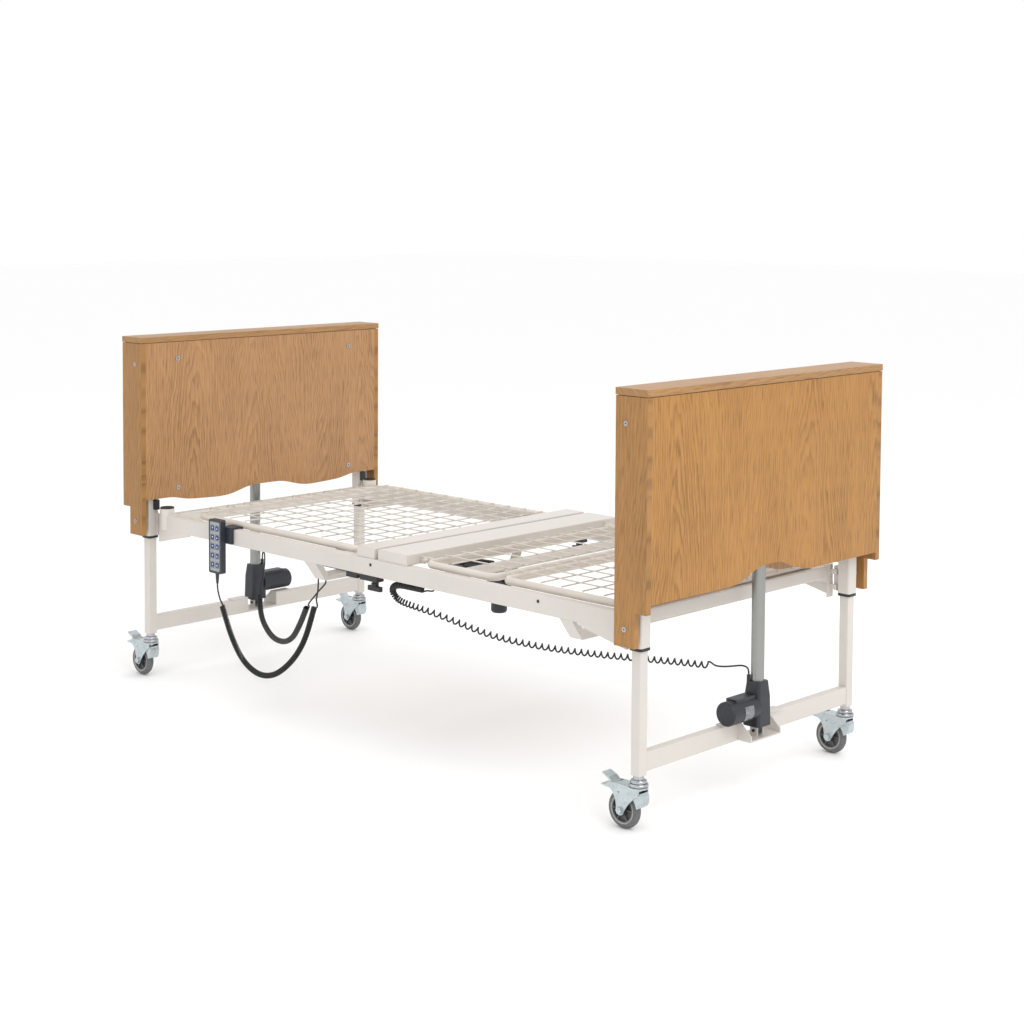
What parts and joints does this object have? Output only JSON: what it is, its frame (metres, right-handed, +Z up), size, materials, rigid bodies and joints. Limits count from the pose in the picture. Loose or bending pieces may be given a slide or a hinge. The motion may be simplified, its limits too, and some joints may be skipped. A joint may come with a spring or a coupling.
{
  "type": "adjustable hospital bed",
  "caption": "Height-adjustable profiling care bed with wire mesh mattress sections, wooden end boards, electric lifts, hand control and braked casters.",
  "frame": {"origin": "on the floor, under the middle of the bed's whole length with its casters and pedals, on the centre line", "axes": "+X along the bed towards the foot end, +Y across it to the far side, +Z up"},
  "size_m": [2.299, 1.03, 1.131],
  "materials": {
    "frame_paint": "satin cream powder coat",
    "oak": "satin golden oak with cathedral grain",
    "oak_edge": "satin golden oak, straight grain",
    "chrome": "polished",
    "zinc": "zinc plated pressed steel",
    "bright_tube": "satin anodised",
    "motor_case": "fine matte",
    "black_plastic": "fine matte",
    "tyre_rubber": "grey, non-marking",
    "handset_case": "fine matte pale blue-grey",
    "keys": "fine matte dark blue",
    "cord_jacket": "smooth black"
  },
  "bodies": {
    "head_base": {"head_leg_frame": "frame_paint", "head_caster_cups": "chrome", "head_lift_motor": "motor_case", "head_lift_tube": "bright_tube"},
    "platform": {"lift_rods": "bright_tube", "head_sleeve_frame": "frame_paint", "foot_sleeve_frame": "frame_paint", "sleeve_bushes": "black_plastic", "head_outer_panel": "oak", "foot_outer_panel": "oak", "head_inner_panel": "oak", "foot_inner_panel": "oak", "head_cheeks": "oak_edge", "foot_cheeks": "oak_edge", "board_caps": "oak", "board_screws": "chrome", "head_frame_half": "frame_paint", "foot_frame_half": "frame_paint", "joint_blocks": "black_plastic", "socket_plugs": "black_plastic", "corner_catches": "black_plastic", "control_box": "motor_case", "handset": "handset_case", "handset_cord_coil": "cord_jacket", "handset_cord_tails": "cord_jacket", "head_lift_cord_coil": "cord_jacket", "head_lift_cord_tails": "cord_jacket", "foot_lift_cord_coil": "cord_jacket", "foot_lift_cord_tails": "cord_jacket"},
    "foot_base": {"foot_leg_frame": "frame_paint", "foot_caster_cups": "chrome", "foot_lift_motor": "motor_case", "foot_lift_tube": "bright_tube"},
    "backrest": {"backrest_section": "frame_paint"},
    "thigh": {"thigh_section": "frame_paint"},
    "calf": {"calf_section": "frame_paint"},
    "backrest_motor": {"backrest_actuator": "motor_case"},
    "backrest_rod": {"backrest_push_rod": "bright_tube"},
    "knee_motor": {"knee_actuator": "motor_case"},
    "knee_rod": {"knee_push_rod": "bright_tube"},
    "near_knob": {"near_clamp_knob": "black_plastic"},
    "far_knob": {"far_clamp_knob": "black_plastic"},
    "fork_head_near": {"caster_fork_head_near": "zinc"},
    "wheel_head_near": {"caster_wheel_head_near": "tyre_rubber"},
    "pedal_head_near": {"caster_pedal_head_near": "zinc"},
    "fork_head_far": {"caster_fork_head_far": "zinc"},
    "wheel_head_far": {"caster_wheel_head_far": "tyre_rubber"},
    "pedal_head_far": {"caster_pedal_head_far": "zinc"},
    "fork_foot_near": {"caster_fork_foot_near": "zinc"},
    "wheel_foot_near": {"caster_wheel_foot_near": "tyre_rubber"},
    "pedal_foot_near": {"caster_pedal_foot_near": "zinc"},
    "fork_foot_far": {"caster_fork_foot_far": "zinc"},
    "wheel_foot_far": {"caster_wheel_foot_far": "tyre_rubber"},
    "pedal_foot_far": {"caster_pedal_foot_far": "zinc"},
    "rocker_1": {"handset_rocker_1": "keys"},
    "rocker_2": {"handset_rocker_2": "keys"},
    "rocker_3": {"handset_rocker_3": "keys"},
    "rocker_4": {"handset_rocker_4": "keys"},
    "rocker_5": {"handset_rocker_5": "keys"}
  },
  "joints": [
    {"name": "platform_lift", "type": "slide", "parent": "head_base", "child": "platform", "axis": [0, 0, 1], "range_m": [-0.18, 0.22], "deforming": ["head_lift_cord_coil", "head_lift_cord_tails", "foot_lift_cord_coil", "foot_lift_cord_tails"]},
    {"name": "foot_lift", "type": "slide", "parent": "platform", "child": "foot_base", "axis": [0, 0, -1], "range_m": [-0.18, 0.22]},
    {"name": "swivel_head_near", "type": "hinge", "parent": "head_base", "child": "fork_head_near", "pos_m": [-1.0375, -0.4555, 0.12], "axis": [0, 0, 1], "continuous": true},
    {"name": "roll_head_near", "type": "hinge", "parent": "fork_head_near", "child": "wheel_head_near", "pos_m": [-1.0825, -0.4555, 0.05], "axis": [0, 1, 0], "continuous": true},
    {"name": "brake_head_near", "type": "hinge", "parent": "fork_head_near", "child": "pedal_head_near", "pos_m": [-1.1035, -0.4555, 0.103], "axis": [0, 1, 0], "range_deg": [-8, 6]},
    {"name": "swivel_head_far", "type": "hinge", "parent": "head_base", "child": "fork_head_far", "pos_m": [-1.0375, 0.4555, 0.12], "axis": [0, 0, 1], "continuous": true},
    {"name": "roll_head_far", "type": "hinge", "parent": "fork_head_far", "child": "wheel_head_far", "pos_m": [-1.0825, 0.4555, 0.05], "axis": [0, 1, 0], "continuous": true},
    {"name": "brake_head_far", "type": "hinge", "parent": "fork_head_far", "child": "pedal_head_far", "pos_m": [-1.1035, 0.4555, 0.103], "axis": [0, 1, 0], "range_deg": [-8, 6]},
    {"name": "swivel_foot_near", "type": "hinge", "parent": "foot_base", "child": "fork_foot_near", "pos_m": [1.0805, -0.4555, 0.12], "axis": [0, 0, 1], "continuous": true},
    {"name": "roll_foot_near", "type": "hinge", "parent": "fork_foot_near", "child": "wheel_foot_near", "pos_m": [1.0355, -0.4555, 0.05], "axis": [0, 1, 0], "continuous": true},
    {"name": "brake_foot_near", "type": "hinge", "parent": "fork_foot_near", "child": "pedal_foot_near", "pos_m": [1.0145, -0.4555, 0.103], "axis": [0, 1, 0], "range_deg": [-8, 6]},
    {"name": "swivel_foot_far", "type": "hinge", "parent": "foot_base", "child": "fork_foot_far", "pos_m": [1.0805, 0.4555, 0.12], "axis": [0, 0, 1], "continuous": true},
    {"name": "roll_foot_far", "type": "hinge", "parent": "fork_foot_far", "child": "wheel_foot_far", "pos_m": [1.0355, 0.4555, 0.05], "axis": [0, 1, 0], "continuous": true},
    {"name": "brake_foot_far", "type": "hinge", "parent": "fork_foot_far", "child": "pedal_foot_far", "pos_m": [1.0145, 0.4555, 0.103], "axis": [0, 1, 0], "range_deg": [-8, 6]},
    {"name": "backrest_hinge", "type": "hinge", "parent": "platform", "child": "backrest", "pos_m": [-0.0185, 0, 0.5625], "axis": [0, 1, 0], "range_deg": [0, 70]},
    {"name": "thigh_hinge", "type": "hinge", "parent": "platform", "child": "thigh", "pos_m": [0.2265, 0, 0.5625], "axis": [0, -1, 0], "range_deg": [0, 35]},
    {"name": "calf_hinge", "type": "hinge", "parent": "thigh", "child": "calf", "pos_m": [0.5365, 0, 0.5625], "axis": [0, 1, 0], "range_deg": [0, 57.5]},
    {"name": "backrest_motor_tilt", "type": "hinge", "parent": "platform", "child": "backrest_motor", "pos_m": [0.3115, -0.13, 0.48], "axis": [0, 1, 0], "range_deg": [0, 4.5]},
    {"name": "backrest_rod_slide", "type": "slide", "parent": "backrest_motor", "child": "backrest_rod", "axis": [-0.9999, 0, 0.0161], "range_m": [0, 0.0878]},
    {"name": "knee_motor_tilt", "type": "hinge", "parent": "platform", "child": "knee_motor", "pos_m": [-0.0535, -0.04, 0.478], "axis": [0, -1, 0], "range_deg": [0, 2.1]},
    {"name": "knee_rod_slide", "type": "slide", "parent": "knee_motor", "child": "knee_rod", "axis": [0.9991, 0, 0.0428], "range_m": [0, 0.0424]},
    {"name": "near_knob_turn", "type": "hinge", "parent": "platform", "child": "near_knob", "pos_m": [0.0615, -0.44, 0.47], "axis": [0, 0, 1], "range_deg": [-180, 180]},
    {"name": "far_knob_turn", "type": "hinge", "parent": "platform", "child": "far_knob", "pos_m": [0.0615, 0.44, 0.47], "axis": [0, 0, 1], "range_deg": [-180, 180]},
    {"name": "rocker_1_tilt", "type": "hinge", "parent": "platform", "child": "rocker_1", "pos_m": [-0.6455, -0.4814, 0.551], "axis": [0, 0, 1], "range_deg": [-2.5, 2.5], "stiffness_Nm_per_rad": 1.5},
    {"name": "rocker_2_tilt", "type": "hinge", "parent": "platform", "child": "rocker_2", "pos_m": [-0.6455, -0.4814, 0.522], "axis": [0, 0, 1], "range_deg": [-2.5, 2.5], "stiffness_Nm_per_rad": 1.5},
    {"name": "rocker_3_tilt", "type": "hinge", "parent": "platform", "child": "rocker_3", "pos_m": [-0.6455, -0.4814, 0.493], "axis": [0, 0, 1], "range_deg": [-2.5, 2.5], "stiffness_Nm_per_rad": 1.5},
    {"name": "rocker_4_tilt", "type": "hinge", "parent": "platform", "child": "rocker_4", "pos_m": [-0.6455, -0.4814, 0.464], "axis": [0, 0, 1], "range_deg": [-2.5, 2.5], "stiffness_Nm_per_rad": 1.5},
    {"name": "rocker_5_tilt", "type": "hinge", "parent": "platform", "child": "rocker_5", "pos_m": [-0.6455, -0.4814, 0.435], "axis": [0, 0, 1], "range_deg": [-2.5, 2.5], "stiffness_Nm_per_rad": 1.5}
  ],
  "couplings": [
    {"joint": "foot_lift", "follows": "platform_lift", "ratio": 1},
    {"joint": "calf_hinge", "follows": "thigh_hinge", "ratio": 1.64},
    {"joint": "backrest_motor_tilt", "follows": "backrest_hinge", "ratio": 0.063471},
    {"joint": "backrest_rod_slide", "follows": "backrest_hinge", "m_per_rad": 0.071774},
    {"joint": "knee_motor_tilt", "follows": "thigh_hinge", "ratio": 0.057457},
    {"joint": "knee_rod_slide", "follows": "thigh_hinge", "m_per_rad": 0.069256}
  ]
}
